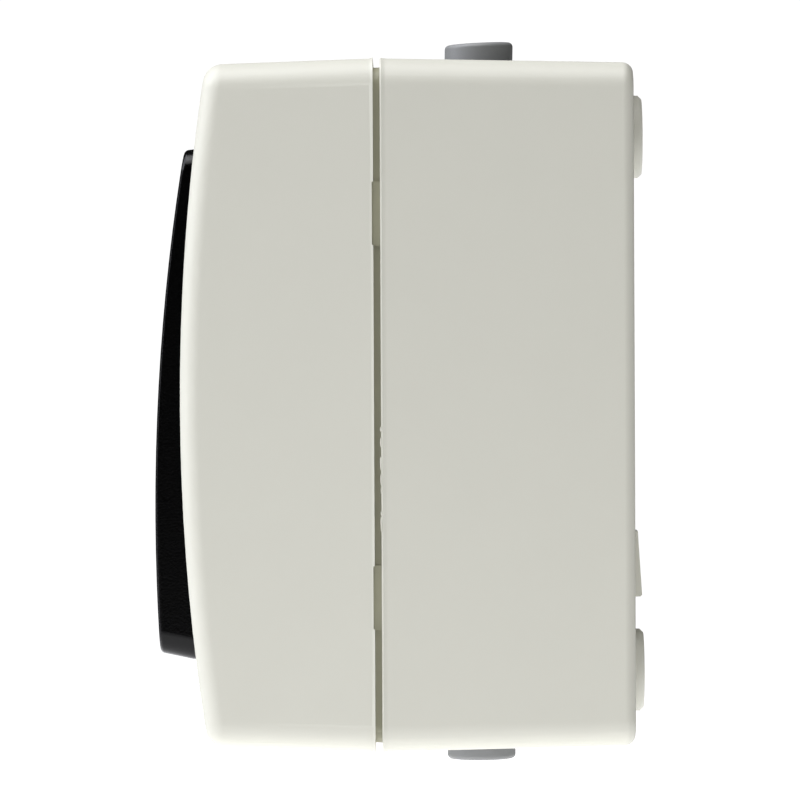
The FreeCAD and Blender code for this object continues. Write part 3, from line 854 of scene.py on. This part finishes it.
class SWITCH_OT_spring(bpy.types.Operator):
    """Plunger spring, with a mesh of its own; the real spring shortens as the plunger
    slides in
    """

    bl_idname = "switch.spring"
    bl_label = "Plunger spring"

    def execute(self, context):
        piece = smoothed_copy("plunger_spring", "coil_spring", spring_wire())
        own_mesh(piece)
        return {"FINISHED"}


class SWITCH_OT_inside(bpy.types.Operator):
    """Seals, insert, plunger, contacts, terminals and screws"""

    bl_idname = "switch.inside"
    bl_label = "Inside"

    def execute(self, context):
        finish = {
            "dark_rubber": dark_rubber(),
            "insert_plastic": grey_thermoset(),
            "slide_plastic": natural_acetal(),
            "plated_steel": zinc_steel(),
            "terminal_brass": cut_brass(),
            "contact_copper": stamped_copper(),
            "contact_silver": riveted_silver(),
        }
        for node in frame["nodes"]:
            slot = slot_of_node(node)
            if slot in finish:
                finish_node(node, finish[slot])
        return {"FINISHED"}


def white_to_camera(tree):
    """Node for a strength that looks white, and lights other things by its To Min."""
    path = add_node(tree, "ShaderNodeLightPath")
    return add_node(
        tree,
        "ShaderNodeMapRange",
        {"To Max": WHITE_SEEN},
        {"Value": path.outputs["Is Camera Ray"]},
    )


def lit_acrylic(name, colour, glow, radius):
    """Opal acrylic of a light table: white, matt and lit from below near its middle."""
    material, tree, output, place = blank_material(name)
    wave = add_node(
        tree,
        "ShaderNodeTexNoise",
        {"Scale": grain_scale(ACRYLIC_WAVE), "Detail": 3.0},
        {"Vector": place},
    )
    bump = add_node(
        tree,
        "ShaderNodeBump",
        {"Strength": 0.2, "Distance": ACRYLIC_DEPTH},
        {"Height": wave.outputs["Fac"]},
    )
    out = add_node(tree, "ShaderNodeVectorMath", links={0: place}, operation="LENGTH")
    lit = add_node(
        tree,
        "ShaderNodeMapRange",
        {
            "From Min": TABLE_FULL * radius,
            "From Max": radius,
            "To Min": glow,
            "To Max": 0.0,
        },
        {"Value": out.outputs["Value"]},
    )
    strength = white_to_camera(tree)
    tree.links.new(lit.outputs["Result"], strength.inputs["To Min"])
    surface = add_node(
        tree,
        "ShaderNodeBsdfPrincipled",
        {
            "Base Color": colour,
            "Roughness": 0.9,
            "Emission Color": colour,
        },
        {
            "Normal": bump.outputs["Normal"],
            "Emission Strength": strength.outputs["Result"],
        },
    )
    tree.links.new(surface.outputs["BSDF"], output.inputs["Surface"])
    return material


class SWITCH_OT_stage(bpy.types.Operator):
    """Light table, soft lights and the camera"""

    bl_idname = "switch.stage"
    bl_label = "Stage"

    def execute(self, context):
        lay_floor()
        light_world()
        hang_lights()
        place_camera()
        scene = context.scene
        scene.view_settings.view_transform = "Standard"
        scene.view_settings.look = "None"
        return {"FINISHED"}


def lay_floor():
    """Round sheet of opal acrylic below the switch, lit as a light table."""
    stage = staging()
    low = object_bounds()[0][2] - stage.floor_drop
    form = bmesh.new()
    bmesh.ops.create_circle(form, cap_ends=True, radius=stage.floor_radius, segments=96)
    bmesh.ops.translate(form, verts=form.verts, vec=(0, 0, low))
    mesh = bpy.data.meshes.new("floor")
    form.to_mesh(mesh)
    form.free()
    floor = bpy.data.objects.new("floor", mesh)
    mesh.materials.append(
        lit_acrylic(
            "OpalAcrylicCast", stage.floor_colour, stage.floor_glow, stage.table_radius
        )
    )
    bpy.context.scene.collection.objects.link(floor)
    floor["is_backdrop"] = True


def light_world():
    """White surroundings that light the switch less than their look suggests."""
    world = bpy.data.worlds.new("Tent")
    bpy.context.scene.world = world
    world.use_nodes = True
    tree = world.node_tree
    tree.nodes.clear()
    strength = white_to_camera(tree)
    strength.inputs["To Min"].default_value = staging().tent_glow
    sky = add_node(
        tree,
        "ShaderNodeBackground",
        {"Color": (*PLAIN_WHITE, 1.0)},
        {"Strength": strength.outputs["Result"]},
    )
    add_node(
        tree, "ShaderNodeOutputWorld", links={"Surface": sky.outputs["Background"]}
    )


def facing(place, target):
    """Position at one place, turned to face another."""
    aim = Vector(target) - Vector(place)
    turn = aim.to_track_quat("-Z", "Y").to_matrix().to_4x4()
    return Matrix.Translation(place) @ turn


def softbox(name, place, size, power, colour=PLAIN_WHITE):
    """Rectangular soft light of a width, height and power that faces the switch."""
    lamp = bpy.data.lights.new(name, "AREA")
    lamp.shape = "RECTANGLE"
    lamp.size, lamp.size_y = size
    lamp.energy = power
    lamp.color = colour
    holder = bpy.data.objects.new(name, lamp)
    holder.matrix_world = facing(place, LIT_POINT)
    bpy.context.scene.collection.objects.link(holder)


def hang_lights():
    """A softbox overhead, one above the front and a narrow one straight ahead."""
    cool = staging().lamp_colour[:3]
    softbox("top_softbox", place=(0.24, -0.1, 0.7), size=(0.6, 0.6), power=4.4)
    softbox(
        "front_softbox",
        place=(0.05, -0.58, 0.55),
        size=(0.6, 0.8),
        power=6.0,
        colour=cool,
    )
    softbox(
        "edge_softbox",
        place=(0.0, -0.6, 0.0),
        size=(0.12, 0.6),
        power=0.6,
        colour=cool,
    )


def place_camera():
    """Camera square to the side of the switch, as in the picture."""
    stage = staging()
    near_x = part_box("back_box")[1][0]
    eye = (near_x + stage.distance, -stage.aim_y, stage.camera_z)
    aim = (near_x, -stage.aim_y, stage.aim_z)
    lens = bpy.data.cameras.new("camera")
    lens.sensor_fit = "HORIZONTAL"
    lens.angle_x = 2 * math.atan(stage.view_width / 2 / stage.distance)
    lens.clip_start = 0.01
    lens.clip_end = 20
    holder = bpy.data.objects.new("camera", lens)
    holder.matrix_world = facing(eye, aim) @ Matrix.Rotation(stage.roll, 4, "Z")
    bpy.context.scene.collection.objects.link(holder)
    bpy.context.scene.camera = holder


class SWITCH_PT_panel(bpy.types.Panel):
    """Lists the switch's pieces and settings"""

    bl_label = "Weatherproof switch"
    bl_idname = "SWITCH_PT_panel"
    bl_space_type = "VIEW_3D"
    bl_region_type = "UI"
    bl_category = "Switch"

    def draw(self, context):
        for operator in OPERATORS:
            self.layout.operator(operator.bl_idname)
        for group in (finishes(), details(), staging()):
            box = self.layout.box()
            for name in group.__annotations__:
                box.prop(group, name)


OPERATORS = [
    SWITCH_OT_shells,
    SWITCH_OT_flash,
    SWITCH_OT_rocker,
    SWITCH_OT_grommets,
    SWITCH_OT_spring,
    SWITCH_OT_inside,
    SWITCH_OT_stage,
]
GROUPS = {
    "switch_finishes": SwitchFinishes,
    "switch_details": SwitchDetails,
    "switch_stage": SwitchStage,
}


def register():
    """Registers the settings, the operators and the panel."""
    for name, group in GROUPS.items():
        bpy.utils.register_class(group)
        setattr(bpy.types.Scene, name, bpy.props.PointerProperty(type=group))
    for operator in OPERATORS:
        bpy.utils.register_class(operator)
    bpy.utils.register_class(SWITCH_PT_panel)


def unregister():
    """Takes everything back out of Blender."""
    bpy.utils.unregister_class(SWITCH_PT_panel)
    for operator in reversed(OPERATORS):
        bpy.utils.unregister_class(operator)
    for name, group in GROUPS.items():
        delattr(bpy.types.Scene, name)
        bpy.utils.unregister_class(group)


def main():
    """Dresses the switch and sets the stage."""
    register()
    for operator in OPERATORS:
        name = operator.bl_idname.removeprefix("switch.")
        getattr(bpy.ops.switch, name)()


if __name__ == "__main__":
    main()
